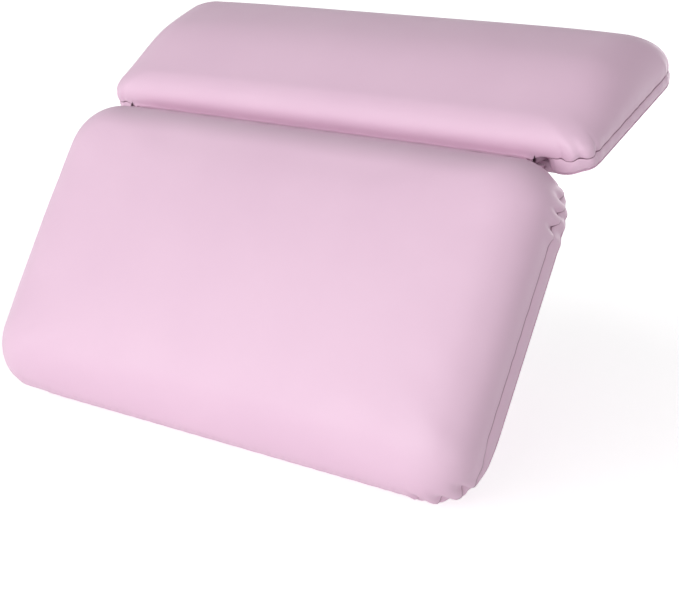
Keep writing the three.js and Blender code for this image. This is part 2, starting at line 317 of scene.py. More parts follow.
# Corners run anticlockwise seen from the front: top right, top left, bottom left, bottom right
CORNER_SIGNS = ((1, 1), (-1, 1), (-1, -1), (1, -1))


def smoothstep(value, low, high):
    """Zero below the low end, one above the high end, and smooth between them."""
    share = np.clip((value - low) / (high - low), 0, 1)
    return share * share * (3 - 2 * share)


def bell_curve(distance, half):
    """One at no distance, falling smoothly to nothing."""
    return np.exp(-(distance / half) ** 2)


# Plan of a pad


def rounded_rectangle(half_width, half_height, radii):
    """Points round a rectangle, anticlockwise, closer near the corners, as many for every size."""
    centres = [np.array([side * (half_width - radius), end * (half_height - radius)])
               for (side, end), radius in zip(CORNER_SIGNS, radii)]
    points = []
    for corner in range(4):
        after = (corner + 1) % 4
        angles = (corner + np.linspace(0, 1, ARC_STEPS + 1)) * math.pi / 2
        arc = np.column_stack([np.cos(angles), np.sin(angles)])
        points.append(centres[corner] + radii[corner] * arc)
        start = centres[corner] + radii[corner] * arc[-1]
        end = centres[after] + radii[after] * arc[-1]
        steps = LONG_STEPS if corner % 2 == 0 else SHORT_STEPS
        even = np.linspace(0, 1, steps + 1)[1:-1]
        graded = even - END_DENSITY * np.sin(2 * np.pi * even) / (2 * np.pi)
        points.append(start + graded[:, None] * (end - start))
    return np.vstack(points)


def corner_columns(corner):
    """The columns of a corner's arc, counted anticlockwise from the upper end of the right side."""
    arcs = corner * (ARC_STEPS + 1)
    long_sides = (corner + 1) // 2 * (LONG_STEPS - 1)
    short_sides = corner // 2 * (SHORT_STEPS - 1)
    first = arcs + long_sides + short_sides
    return slice(first, first + ARC_STEPS + 1)


class Corner:
    """One corner of a pad: its radius in plan, how far its end reaches out, how far its seam sinks,
    how far its face sags, and its gathers. Lengths are given in millimetres."""

    def __init__(self, radius, ear=0.0, sink=0.0, sag=0.0, gather=0.0, pinches=3, pitch=12.0, shift=0.0):
        self.radius = radius * MM
        self.ear = ear * MM
        self.sink = sink * MM
        self.sag = sag * MM
        self.gather = gather * MM
        self.pinches = pinches
        self.pitch = pitch * MM
        self.shift = shift * MM


class Pad:
    """One pad and its panel's own frame: x across, y up the panel, z out of the padded face."""

    def __init__(self, name, mount, crease_side, crease_roll, crease_taper, inner_corner, crown,
                 crown_power, fullness, drape, corners):
        self.name = name
        self.body = name + "_panel"
        self.crease_side = crease_side
        self.crease_roll = crease_roll
        self.crease_taper = crease_taper
        self.inner_corner = inner_corner
        self.crown = crown
        self.crown_power = crown_power
        self.fullness = fullness
        self.corners = corners
        out = -np.array(MOUNTS[mount]["axis"])
        self.axes = np.column_stack([ACROSS, np.cross(out, ACROSS), out])
        self.origin = FOLD_POINT - FOLD_LEVEL * out
        cover_low, cover_high = self.box(name + "_front_cover")
        band_low, band_high = self.box(name + "_side_band")
        self.middle = (cover_low[1] + cover_high[1]) / 2
        self.half_width = cover_high[0]
        self.half_height = (cover_high[1] - cover_low[1]) / 2
        self.seam = band_high[2]
        self.band_foot = band_low[2]
        self.face = cover_high[2] - crown
        self.face_middle = np.array([0, crease_side * ROLL_REACH * (1 - crease_roll) / 2])
        self.measure_outline(drape)

    def box(self, node):
        """Lowest and highest corner of a node, in the panel's own frame."""
        points = np.array([v.co for v in frame["nodes"][node].data.vertices])
        local = self.to_panel(points)
        return local.min(0), local.max(0)

    def to_panel(self, points):
        """Points of the row frame, in the panel's own frame."""
        return (points - self.origin) @ self.axes

    def to_row(self, points):
        """Points about the pad's middle, in the row frame."""
        return (points + [0, self.middle, 0]) @ self.axes.T + self.origin

    def plan(self, inset):
        """The outline drawn in by an inset, with corners that open up towards the face."""
        share = np.clip(inset / ROLL_REACH, 0, 1)
        radii = [corner.radius + (self.inner_corner - corner.radius) * share for corner in self.corners]
        spared = inset * (1 - self.crease_roll) / 2
        points = rounded_rectangle(self.half_width - inset, self.half_height - inset + spared, radii)
        points[:, 1] += self.crease_side * spared
        across = points[:, 0] / self.half_width
        along = points[:, 1] / self.half_height
        for (side, end), corner in zip(CORNER_SIGNS, self.corners):
            reach = np.clip(side * across, 0, 1) ** EAR_POWER * smoothstep(end * along, *EAR_RANGE)
            points[:, 0] += side * corner.ear * reach * (1 - share)
        return points

    def measure_outline(self, drape):
        """What each column needs: its place round the outline, its dip at the crease and its waves."""
        outline = self.plan(0)
        x = outline[:, 0]
        self.steps = np.linalg.norm(np.roll(outline, -1, 0) - outline, axis=1)
        self.along = np.concatenate([[0], np.cumsum(self.steps)[:-1]])
        self.length = self.steps.sum()
        tangent = np.roll(outline, -1, 0) - np.roll(outline, 1, 0)
        tangent /= np.linalg.norm(tangent, axis=1)[:, None]
        self.outward = np.column_stack([tangent[:, 1], -tangent[:, 0]])
        from_crease = self.half_height - self.crease_side * outline[:, 1]
        on_crease = 1 - smoothstep(from_crease, 0, CREASE_EDGE_FADE)
        web_half = LOWER_HALF_WIDTH - WEB_END_INSET
        dip_end = np.where(x < 0, web_half + LEFT_DIP_EXTRA, web_half)
        self.dip = on_crease * (1 - smoothstep(np.abs(x), dip_end - CREASE_DIP_LENGTH, dip_end))
        self.notch = NOTCH_DEPTH * on_crease * bell_curve(x - NOTCH_PLACE, NOTCH_HALF)
        self.drape = drape * on_crease * bell_curve(x - DRAPE_PLACE, DRAPE_HALF)
        self.sink = sum(corner.sink * self.near(k, SINK_FADE) for k, corner in enumerate(self.corners))
        self.tuck = TUCK_SHARE * self.sink
        self.wave = self.scallops() * (1 - self.dip)
        phase = 2 * np.pi * self.along / RIPPLE_PITCH
        stray = RIPPLE_STRAY * np.sin(phase / RIPPLE_STRAY_SPAN)
        self.ripple = np.sin(phase + stray) * (1 - self.dip)

    def around(self, corner):
        """How far each column lies round the outline from the middle of a corner."""
        middle = self.along[corner_columns(corner)].mean()
        return (self.along - middle + self.length / 2) % self.length - self.length / 2

    def near(self, corner, fade):
        """One on a corner's arc, falling to nothing over a length of seam on either side."""
        span = math.pi / 4 * self.corners[corner].radius
        return 1 - smoothstep(np.abs(self.around(corner)), span - fade / 2, span + fade / 2)

    def scallops(self):
        """Gathers of the seam at the corners: broad bulges above nothing, narrow pinches below it."""
        total = np.zeros(len(self.along))
        for k, corner in enumerate(self.corners):
            place = self.around(k) - corner.shift
            turn = place / corner.pitch
            stray = GATHER_STRAY * np.sin(GATHER_STRAY_RATE * turn + k)
            swing = 0.5 + 0.5 * np.cos(2 * np.pi * turn + stray)
            reach = corner.pitch * corner.pinches / 2
            window = 1 - smoothstep(np.abs(place), reach - GATHER_FADE_IN, reach + GATHER_FADE_OUT)
            total += corner.gather * window * (BULGE_SHARE - PINCH_SHARE * swing ** PINCH_SHARPNESS)
        return total


LOWER = Pad(
    "lower", "tub_wall", crease_side=1, crease_roll=0.75, crease_taper=0.0, inner_corner=12 * MM,
    crown=10 * MM, crown_power=2, fullness=3 * MM, drape=0.0,
    corners=[
        Corner(27, gather=2.2, pinches=3.6, pitch=9.7, shift=-19.4, sink=5),
        Corner(36, gather=1.2, pinches=3, pitch=12),
        Corner(30, gather=1.4, pinches=3, pitch=13, sink=5),
        Corner(30, gather=3.0, pinches=3, pitch=13, shift=-10, sink=6),
    ],
)
UPPER = Pad(
    "upper", "upper_cup_left_lip", crease_side=-1, crease_roll=0.5, crease_taper=0.36,
    inner_corner=7 * MM, crown=6 * MM, crown_power=4, fullness=2.5 * MM, drape=3.5 * MM,
    corners=[
        Corner(17.5, ear=0.5, sag=4, gather=0.5, pinches=2, pitch=11),
        Corner(17.5, ear=4, sag=1, gather=0.5, pinches=2, pitch=11),
        Corner(13, gather=0.9, pinches=2, pitch=11),
        Corner(13, gather=1.1, pinches=2, pitch=12, shift=-3),
    ],
)


# Meshes


def strip(below, above):
    """Faces between two closed rows of vertex numbers."""
    count = len(below)
    return [(below[k], below[(k + 1) % count], above[(k + 1) % count], above[k]) for k in range(count)]


def skin(rows, first=None, last=None):
    """Vertices and faces through equal rows, joined in a hoop or closed by a point at each end."""
    count = len(rows[0])
    vertices = np.vstack(rows)
    numbers = np.arange(len(vertices)).reshape(len(rows), count).tolist()
    faces = []
    for below, above in zip(numbers, numbers[1:]):
        faces += strip(below, above)
    if first is None:
        return vertices, faces + strip(numbers[-1], numbers[0])
    start = len(vertices)
    top = numbers[-1]
    faces += [(start, (k + 1) % count, k) for k in range(count)]
    faces += [(top[k], top[(k + 1) % count], start + 1) for k in range(count)]
    return np.vstack([vertices, [first], [last]]), faces


def make_piece(name, vertices, faces, material):
    """An object with smooth faces in one material, linked into the scene."""
    mesh = bpy.data.meshes.new(name)
    mesh.from_pydata(np.asarray(vertices).tolist(), [], faces)
    mesh.polygons.foreach_set("use_smooth", [True] * len(mesh.polygons))
    mesh.materials.append(material)
    mesh.update()
    piece = bpy.data.objects.new(name, mesh)
    bpy.context.scene.collection.objects.link(piece)
    return piece


def paint_shade(piece, values):
    """Stores each vertex's painted shade, from nothing to one, for the material to darken it towards the
    painted seam shade.
    """
    attribute = piece.data.attributes.new("seam", "FLOAT", "POINT")
    attribute.data.foreach_set("value", np.asarray(values, np.float32))


# Pads


def swell(pad, plan):
    """How far the face stands out at each point of a plan, and how far it sags towards the corners."""
    across = np.clip(np.abs(plan[:, 0]) / pad.half_width, 0, 1)
    along = np.clip(np.abs(plan[:, 1]) / pad.half_height, 0, 1)
    crown = pad.crown * (1 - across ** pad.crown_power) * (1 - along ** 2)
    sides = pad.fullness * across ** FULLNESS_POWER * (1 - along ** 2)
    sag = np.zeros(len(plan))
    for (side, end), corner in zip(CORNER_SIGNS, pad.corners):
        towards = np.clip(side * plan[:, 0] / pad.half_width, 0, 1) ** SAG_POWER
        sag += corner.sag * towards * np.clip(end * plan[:, 1] / pad.half_height, 0, 1) ** 2
    return crown + sides, sag


def tapered(pad, plan, level):
    """A level lowered towards the crease, where the pad thins."""
    share = smoothstep(pad.crease_side * plan[:, 1] / pad.half_height, *TAPER_RANGE)
    return pad.seam + (level - pad.seam) * (1 - pad.crease_taper * share)


def pad_rows(pad):
    """Rows of the padded skin about the pad's middle, from the foam's underside to the crown, and the
    number of the hem's last row, where the skin comes out of the seam."""
    seam = pad.seam + GROOVE_HALF
    seam_level = seam + (CREASE_SEAM_LEVEL - seam) * pad.dip - pad.sink
    seam_share = 1 - SEAM_DRAW_IN / ROLL_REACH
    roll_height = (pad.face - seam) / (1 + math.sqrt(1 - seam_share ** 2))
    under = pad.plan(UNDERSIDE_INSET)
    rows = [np.column_stack([under, np.full(len(under), FOAM_BOTTOM)])]
    for drawn_in, rise in HEM:
        plan = pad.plan(SEAM_DRAW_IN + drawn_in)
        plan[:, 1] += pad.crease_side * CREASE_FLARE * pad.dip
        rows.append(np.column_stack([plan, seam_level + rise]))
    tuck = len(rows) - 1
    roll = []
    start_angle = ROLL_START / roll_height - math.acos(seam_share)
    shares = np.linspace(0, 1, ROLL_ROWS) ** ROLL_GRADING
    for angle in start_angle + (math.pi / 2 - start_angle) * shares:
        plan = pad.plan(ROLL_REACH * (1 - math.cos(angle)))
        lift, sag = swell(pad, plan)
        level = pad.face - roll_height * (1 - math.sin(angle)) + lift - sag * max(0, math.sin(angle))
        roll.append(np.column_stack([plan, tapered(pad, plan, level)]))
    climb = roll[0] - rows[tuck]
    for share in np.linspace(0, 1, WALL_ROWS + 2)[1:-1]:
        bulge = math.sqrt(share)
        rows.append(rows[tuck] + climb * [bulge, bulge, share])
    rows += roll
    inner = pad.plan(ROLL_REACH)
    for share in CROWN_SHARES:
        plan = pad.face_middle + (inner - pad.face_middle) * share
        lift, sag = swell(pad, plan)
        rows.append(np.column_stack([plan, tapered(pad, plan, pad.face + lift - sag)]))
    return rows, tuck


def seam_distances(rows, tuck):
    """How far up the skin each row is from the seam, in each column."""
    distances = [np.zeros(len(rows[0]))] * (tuck + 1)
    for row in range(tuck + 1, len(rows)):
        distances.append(distances[-1] + np.linalg.norm(rows[row] - rows[row - 1], axis=1))
    return distances


def gather(pad, rows, tuck):
    """The rows with scallops and ripples, strongest at the seam and gone a little way up the roll."""
    bulge = np.maximum(pad.wave, 0)
    pinch = np.minimum(pad.wave, 0)
    heights = seam_distances(rows, tuck)
    gathered = [rows[0]]
    for points, height in zip(rows[1:], heights[1:]):
        out = BULGE_OUT * bulge * bell_curve(height, BULGE_FADE)
        out += PINCH_IN * pinch * bell_curve(height, PINCH_FADE)
        out += RIPPLE_DEPTH * pad.ripple * bell_curve(height, RIPPLE_FADE)
        plan = points[:, :2] + pad.outward * out[:, None]
        level = points[:, 2] - pad.wave * bell_curve(height, DROP_FADE)
        gathered.append(np.column_stack([plan, level]))
    return gathered


def blow_up(pad, vertices, faces):
    """Points of an even cloth in the form of the skin, and how far each moves when the stuffing swells
    while the seam is held."""
    mesh = bpy.data.meshes.new("settling")
    mesh.from_pydata(vertices.tolist(), [], faces)
    form = bpy.data.objects.new("settling", mesh)
    bpy.context.scene.collection.objects.link(form)
    remesh = form.modifiers.new("Even", "REMESH")
    remesh.mode = "VOXEL"
    remesh.voxel_size = SETTLE_VOXEL
    even = bpy.data.meshes.new_from_object(form.evaluated_get(bpy.context.evaluated_depsgraph_get()))
    form.modifiers.remove(remesh)
    form.data = even
    rest = np.array([v.co for v in even.vertices])
    group = form.vertex_groups.new(name="held")
    held = pad.to_panel(rest)[:, 2] < pad.seam + SETTLE_HELD
    group.add([int(k) for k in np.flatnonzero(held)], 1.0, "REPLACE")
    cloth = form.modifiers.new("Settle", "CLOTH")
    cloth.settings.quality = 4
    cloth.settings.mass = 0.3
    cloth.settings.tension_stiffness = 25
    cloth.settings.compression_stiffness = 25
    cloth.settings.shear_stiffness = 15
    cloth.settings.bending_stiffness = 5
    cloth.settings.vertex_group_mass = group.name
    cloth.settings.use_pressure = True
    cloth.settings.uniform_pressure_force = SETTLE_PRESSURE
    cloth.settings.effector_weights.gravity = 0
    cloth.collision_settings.use_collision = False
    cloth.collision_settings.use_self_collision = False
    cloth.point_cache.frame_start = 1
    cloth.point_cache.frame_end = SETTLE_FRAMES
    for step in range(1, SETTLE_FRAMES + 1):
        bpy.context.scene.frame_set(step)
    blown = form.evaluated_get(bpy.context.evaluated_depsgraph_get())
    moved = np.array([v.co for v in blown.data.vertices]) - rest
    bpy.context.scene.frame_set(1)
    bpy.data.objects.remove(form)
    return rest, moved


def settle(pad, vertices, faces):
    """How far each point of the skin moves: it follows the cloth round it, within a cap, and the seam
    stays where it is."""
    rest, moved = blow_up(pad, vertices, faces)
    moved *= SETTLE_CAP / (SETTLE_CAP + np.linalg.norm(moved, axis=1)[:, None])
    tree = KDTree(len(rest))
    for k, point in enumerate(rest):
        tree.insert(point, k)
    tree.balance()
    followed = np.zeros_like(vertices)
    for k, point in enumerate(vertices):
        near = tree.find_n(point, SETTLE_NEIGHBOURS)
        numbers = [number for _, number, _ in near]
        distances = np.array([distance for _, _, distance in near])
        weights = bell_curve(distances, SETTLE_SPREAD) + LEAST_WEIGHT
        followed[k] = weights @ moved[numbers] / weights.sum()
    above = pad.to_panel(vertices)[:, 2] - pad.seam
    return followed * smoothstep(above, SETTLE_HELD, SETTLE_FREE)[:, None]


def make_pad(pad, material):
    """Padded skin, settled first and gathered at its seam afterwards."""
    rows, tuck = pad_rows(pad)
    bottom = pad.to_row(np.array([0, 0, FOAM_BOTTOM]))
    middle = pad.face_middle[None, :]
    summit = tapered(pad, middle, pad.face + swell(pad, middle)[0])[0]
    top = pad.to_row(np.array([*pad.face_middle, summit]))
    vertices, faces = skin([pad.to_row(r) for r in rows], bottom, top)
    moved = settle(pad, vertices, faces)
    vertices, faces = skin([pad.to_row(r) for r in gather(pad, rows, tuck)], bottom, top)
    piece = make_piece(pad.name + "_pad", vertices + moved, faces, material)
    # Painted shade: the skin is darkened towards the seam, standing in for the shade in the seam groove;
    # the two closing points get none
    painted_shade = np.exp(-np.concatenate(seam_distances(rows, tuck)) / PAINTED_SHADE_FADE)
    closing_shade = [0, 0]
    paint_shade(piece, np.append(painted_shade, closing_shade))
    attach(piece, pad.body)
    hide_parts(pad.name + "_front_cover", pad.name + "_foam_core")


# Side bands


def make_band(pad, material):
    """Boxing strip between the two seams, bulging a little, its edges turned in and its top edge given
    painted shade.
    """
    foot = pad.band_foot - BAND_FOOT_DROP
    seam = pad.seam - GROOVE_HALF
    crest = seam + (BAND_CREASE_LEVEL - seam) * pad.dip - pad.sink
    waved = BAND_FOLLOW * pad.wave + RIPPLE_DEPTH * pad.ripple
    bulge = [(-BAND_BULGE * math.sin(math.pi * share), share, 0.0, 0)
             for share in np.linspace(0, 1, BAND_STEPS + 1)[1:-1]]
    rows = []
    painted_shade = []
    for inset, share, turn_in, painted_dark in (*BAND_FOOT, *bulge, *BAND_TOP):
        follow = FOOT_FOLLOW + (1 - FOOT_FOLLOW) * share
        out = waved * follow - pad.tuck - pad.notch + pad.drape * (1 - share)
        plan = pad.plan(SEAM_DRAW_IN + inset) + pad.outward * out[:, None]
        level = foot + (crest - foot) * share - pad.wave * share ** 2 + turn_in
        rows.append(pad.to_row(np.column_stack([plan, level])))
        # Painted shade along the band's turned top edge, in the seam groove
        painted_shade.append(np.full(len(plan), painted_dark))
    vertices, faces = skin(rows)
    piece = make_piece(pad.name + "_band", vertices, faces, material)
    paint_shade(piece, np.concatenate(painted_shade))
    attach(piece, pad.body)
    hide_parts(pad.name + "_side_band")


# Backs


def cup_places(pad):
    """The plan place of each of a pad's cups, about the pad's middle."""
    mine = [joint for joint in SWIVELS if joint["parent"] == pad.body]
    return [pad.to_panel(np.array(joint["pos_m"]))[:2] - [0, pad.middle] for joint in mine]


def back_level(pad, points, places):
    """The back bulges faintly between the cups and is drawn in a little at each eyelet."""
    across = 1 - (points[:, 0] / pad.half_width) ** 2
    along = 1 - (points[:, 1] / pad.half_height) ** 2
    level = np.zeros(len(points))
    for place in places:
        level += DIMPLE_DEPTH * bell_curve(np.linalg.norm(points - place, axis=1), DIMPLE_REACH)
    return level - BACK_BULGE * np.clip(across * along, 0, 1)


def back_grid(pad, places):
    """Even points over a back, clear of its edge and of the rings round its holes."""
    xs = np.arange(-pad.half_width, pad.half_width, BACK_PITCH)
    ys = np.arange(-pad.half_height, pad.half_height, BACK_PITCH)
    grid = np.array([(x, y) for x in xs for y in ys])
    half = np.array([pad.half_width, pad.half_height])
    largest = max(corner.radius for corner in pad.corners)
    inside = (np.abs(grid) < half - largest).any(1)
    inside &= (np.abs(grid) < half - BACK_MARGIN).all(1)
    for place in places:
        inside &= np.linalg.norm(grid - place, axis=1) > HOLE_RINGS[-1] + HOLE_MARGIN
    return grid[inside]


def back_sheet(pad, outline, places):
    """Vertices and triangles within an outline, whose points come first, open at the holes."""
    turns = np.linspace(0, 2 * np.pi, HOLE_STEPS, endpoint=False)
    circle = np.column_stack([np.cos(turns), np.sin(turns)])
    rings = [place + radius * circle for place in places for radius in HOLE_RINGS]
    points = np.vstack([outline, *rings, back_grid(pad, places)])
    edges = [(k, (k + 1) % len(outline)) for k in range(len(outline))]
    flat = delaunay_2d_cdt([Vector(p) for p in points], edges, [], 0, JOINED_WITHIN)
    spots = np.array(flat[0])
    triangles = []
    for face in flat[2]:
        middle = spots[list(face)].mean(0)
        if min(np.linalg.norm(middle - place) for place in places) > HOLE_RADIUS:
            triangles.append(tuple(reversed(face)))
    return np.column_stack([spots, back_level(pad, spots, places)]), triangles


def make_back(pad, material):
    """Flat skin with a hole for each cup and a rim rolled up into the seam."""
    places = cup_places(pad)
    drawn = FOOT_FOLLOW * BAND_FOLLOW * pad.wave - pad.tuck - pad.notch + pad.drape
    drawn_out = pad.outward * drawn[:, None]

    def every_other(inset):
        return (pad.plan(SEAM_DRAW_IN + inset) + drawn_out)[::2]

    outline = every_other(BACK_INSET)
    vertices, faces = back_sheet(pad, outline, places)
    below = range(len(outline))
    for inset, level in BACK_RIM:
        plan = every_other(inset)
        above = range(len(vertices), len(vertices) + len(plan))
        vertices = np.vstack([vertices, np.column_stack([plan, np.full(len(plan), level)])])
        faces += strip(below, above)
        below = above
    piece = make_piece(pad.name + "_back", pad.to_row(vertices), faces, material)
    paint_shade(piece, np.zeros(len(vertices)))
    thickness = piece.modifiers.new("Thickness", "SOLIDIFY")
    thickness.thickness = BACK_THICKNESS
    thickness.offset = -1
    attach(piece, pad.body)
    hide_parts(pad.name + "_back_cover")


# Hinge web


def web_section(half_thickness):
    """Points round the strip's section, bent smoothly from one panel to the other."""
    turn = smoothstep(np.linspace(-1, 1, WEB_ROWS), -WEB_BEND, WEB_BEND)[:, None]
    directions = LOWER.axes[:, 1] * (1 - turn) + UPPER.axes[:, 1] * turn
    directions /= np.linalg.norm(directions, axis=1)[:, None]
    steps = (directions[1:] + directions[:-1]) / 2 * (WEB_HALF * 2 / (WEB_ROWS - 1))
    line = np.vstack([[0, 0, 0], np.cumsum(steps, axis=0)])
    line += FOLD_POINT - line[WEB_ROWS // 2]
    normals = np.cross(ACROSS, directions)
    return np.vstack([line - normals * half_thickness, (line + normals * half_thickness)[::-1]])


def make_web(material):
    """Strip of skin that both pads are sewn to."""
    section = web_section(SKIN / 2)
    half = LOWER.half_width - WEB_END_INSET
    rows = []
    for x in np.linspace(half, -half, WEB_COLUMNS):
        row = section.copy()
        row[:, 0] = x
        rows.append(row)
    vertices, faces = skin(rows, rows[0].mean(0), rows[-1].mean(0))
    piece = make_piece("crease_web", vertices, faces, material)
    # Painted shade over the whole web, between the pads
    paint_shade(piece, np.full(len(vertices), WEB_PAINTED_SHADE))
    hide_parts("hinge_web")
    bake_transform(piece)


# Front of the crease


def curve(start, start_pull, end_pull, end):
    """Points along a cubic curve."""
    share = np.linspace(0, 1, CREASE_ROWS)[:, None]
    first = (1 - share) ** 3 * start + 3 * share * (1 - share) ** 2 * start_pull
    return first + 3 * share ** 2 * (1 - share) * end_pull + share ** 3 * end


def halfway(first, second):
    """The direction halfway between two directions."""
    middle = first + second
    return middle / np.linalg.norm(middle)


def corner_drop(x):
    """How far the lower pad's edge has turned away from the crease at a place across it."""
    radius = LOWER.corners[0 if x > 0 else 1].radius
    past = max(0, abs(x) - LOWER.half_width + radius)
    return radius - math.sqrt(radius ** 2 - past ** 2)


def crease_section(depth, drop=0):
    """Points round the section of the cover sewn down between the pads, from one pad's wall to the
    stitched line and up the other's wall, with the points that hold it."""
    lower_place = [0, -LOWER.middle - CREASE_REACH - drop, CREASE_HOLDS["lower"]]
    upper_place = [0, -UPPER.middle + CREASE_REACH, CREASE_HOLDS["upper"]]
    lower_hold = LOWER.to_row(np.array(lower_place))
    upper_hold = UPPER.to_row(np.array(upper_place))
    out = halfway(LOWER.axes[:, 2], UPPER.axes[:, 2])
    flat = halfway(LOWER.axes[:, 1], UPPER.axes[:, 1]) * CREASE_FLAT
    bottom = FOLD_POINT + out * depth
    lower_pull = lower_hold - LOWER.axes[:, 2] * CREASE_PULL
    upper_pull = upper_hold - UPPER.axes[:, 2] * CREASE_PULL
    down = curve(lower_hold, lower_pull, bottom - flat, bottom)
    up = curve(bottom, bottom + flat, upper_pull, upper_hold)
    top = np.vstack([down, up[1:]])
    return np.vstack([top - out * SKIN, top[::-1]]), lower_hold, upper_hold


def stitch(place):
    """A short stitch of thread lying along the crease, that ties off its end."""
    turns = np.linspace(0, 2 * np.pi, TACK_STEPS, endpoint=False)
    ring = np.column_stack([np.zeros(len(turns)), -np.sin(turns), np.cos(turns)])
    tip = ACROSS * TACK_HALF
    rows = []
    for share in np.linspace(-1, 1, TACK_ROWS)[1:-1]:
        radius = TACK_THICKNESS / 2 * math.sqrt(1 - share * share)
        rows.append(place + tip * share + ring * radius)
    return skin(rows, place - tip, place + tip)


def make_crease(material):
    """Cover sewn down between the pads, wavering a little, with painted shade and the thread at its
    ends.
    """
    right, left = CREASE_ENDS
    xs = np.linspace(right, left, CREASE_COLUMNS)
    rows = []
    for x in xs:
        stray = CREASE_STRAY * math.sin(x / CREASE_STRAY_LENGTH)
        waver = CREASE_WAVER * math.sin(x / CREASE_WAVER_LENGTH + stray)
        from_end = min(right - x, x - left)
        sunk = CREASE_END_SINK * (1 - float(smoothstep(from_end, 0, CREASE_END_LENGTH)))
        row = crease_section(CREASE_DEPTH + waver - sunk, corner_drop(x))[0]
        row[:, 0] = x
        rows.append(row)
    section, lower_hold, upper_hold = crease_section(CREASE_DEPTH)
    vertices, faces = skin(rows, rows[0].mean(0), rows[-1].mean(0))
    # Painted shade: the sewn-down cover is darkened all over and most along its stitched line, standing
    # in for the shade in the crease valley
    line = bell_curve(np.arange(len(section)) - CREASE_LINE, CREASE_SHADE_LINE_HALF)
    painted_dark = np.tile(CREASE_PAINTED_SHADE + (1 - CREASE_PAINTED_SHADE) * line, CREASE_COLUMNS)
    closing_shade = [1, 1]
    painted_dark = np.append(painted_dark, closing_shade)
    # The thread is real, but it takes the full painted seam shade, which stands in for the shade at the
    # crease's ends
    for x in TACKS:
        column = int(np.argmin(np.abs(xs - x)))
        thread, thread_faces = stitch(rows[column][TACK_POINT])
        faces += [tuple(k + len(vertices) for k in face) for face in thread_faces]
        vertices = np.vstack([vertices, thread])
        painted_dark = np.append(painted_dark, np.ones(len(thread)))
    piece = make_piece("crease_front", vertices, faces, material)
    paint_shade(piece, painted_dark)
    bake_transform(piece)


# Cups and eyelets, turned about the swivel axis


def rounded(profile, radius):
    """A profile with its inner points rounded by short curves."""
    corners = [np.array(p) for p in profile]
    points = [corners[0]]
    for before, here, after in zip(corners, corners[1:], corners[2:]):
        ends = []
        for other in (before, after):
            side = np.linalg.norm(other - here)
            ends.append(here + (other - here) / side * min(radius, side * ROUNDED_SHARE))
        for share in np.linspace(0, 1, ROUNDED_STEPS):
            pulled = (1 - share) ** 2 * ends[0] + 2 * share * (1 - share) * here
            points.append(pulled + share ** 2 * ends[1])
    points.append(corners[-1])
    return np.array(points)


def turned(profile, joint, closed):
    """A profile of radius and height turned about a swivel joint's axis."""
    axis = np.array(joint["axis"]) / np.linalg.norm(joint["axis"])
    turns = np.linspace(0, 2 * np.pi, TURN_STEPS, endpoint=False)[:, None]
    ring = np.cos(turns) * ACROSS + np.sin(turns) * np.cross(axis, ACROSS)
    base = np.array(joint["pos_m"])
    rows = [base + radius * ring + height * axis for radius, height in profile]
    if closed:
        return skin(rows)
    return skin(rows[1:-1], base + profile[0][1] * axis, base + profile[-1][1] * axis)


def cup_profile():
    """Clear cup from the middle of its hollow, round the lip, over the bell to the top of its head."""
    shares = np.linspace(0, 1, CUP_STEPS)
    fall = shares ** CUP_CURVE
    hollow = np.column_stack([HOLLOW_RADIUS * shares, HOLLOW_DEPTH * (1 - fall)])
    outside = np.column_stack([
        SHOULDER_RADIUS + (BELL_RADIUS - SHOULDER_RADIUS) * shares,
        SHOULDER_HEIGHT - (SHOULDER_HEIGHT - BELL_FOOT) * fall,
    ])
    head = rounded([
        (SHOULDER_RADIUS, SHOULDER_HEIGHT), (NECK_RADIUS, SHOULDER_HEIGHT), (NECK_RADIUS, HEAD_FOOT),
        (HEAD_RADIUS, HEAD_FOOT), (HEAD_RADIUS, HEAD_EDGE), (NECK_RADIUS, HEAD_TOP), (0, HEAD_TOP),
    ], HEAD_ROUNDING)
    return np.vstack([hollow, CUP_LIP, outside[-2::-1], head[1:]]) * MM


def eyelet_profile():
    """Ring through the back with a flange outside it and one inside."""
    foot, outer = OUTER_FLANGE
    inner, top = INNER_FLANGE
    middle = (foot + top) / 2
    corners = [
        (EYELET_BORE, middle), (EYELET_BORE, foot), (EYELET_FLANGE, foot), (EYELET_FLANGE, outer),
        (EYELET_SLEEVE, outer), (EYELET_SLEEVE, inner), (EYELET_FLANGE, inner), (EYELET_FLANGE, top),
        (EYELET_BORE, top), (EYELET_BORE, middle),
    ]
    return rounded(corners, EYELET_ROUNDING)[:-1] * MM


def make_cups(clear, plastic):
    """A clear cup and its eyelet at each swivel."""
    for joint in SWIVELS:
        cup = joint["child"]
        eyelet = cup.replace("_cup_", "_eyelet_")
        vertices, faces = turned(cup_profile(), joint, closed=False)
        piece = make_piece(cup + "_clear", vertices, faces, clear)
        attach(piece, cup)
        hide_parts(cup)
        vertices, faces = turned(eyelet_profile(), joint, closed=True)
        piece = make_piece(eyelet + "_ring", vertices, faces, plastic)
        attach(piece, joint["parent"])
        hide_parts(eyelet)


# Materials


def node_material(name):
    """A new material with its nodes, its links and its shader."""
    material = bpy.data.materials.new(name)
    material.use_nodes = True
    shader = material.node_tree.nodes["Principled BSDF"]
    return material, material.node_tree.nodes, material.node_tree.links, shader


def noise(nodes, links, coordinates, scale, detail):
    texture = nodes.new("ShaderNodeTexNoise")
    texture.inputs["Scale"].default_value = scale
    texture.inputs["Detail"].default_value = detail
    links.new(coordinates.outputs["Object"], texture.inputs["Vector"])
    return texture.outputs["Fac"]


def spread(nodes, links, source, ends, source_range=NOISE_RANGE):
    """A value of a source's range spread between two ends."""
    scale = nodes.new("ShaderNodeMapRange")
    scale.inputs["From Min"].default_value, scale.inputs["From Max"].default_value = source_range
    scale.inputs["To Min"].default_value, scale.inputs["To Max"].default_value = ends
    links.new(source, scale.inputs["Value"])
    return scale.outputs["Result"]


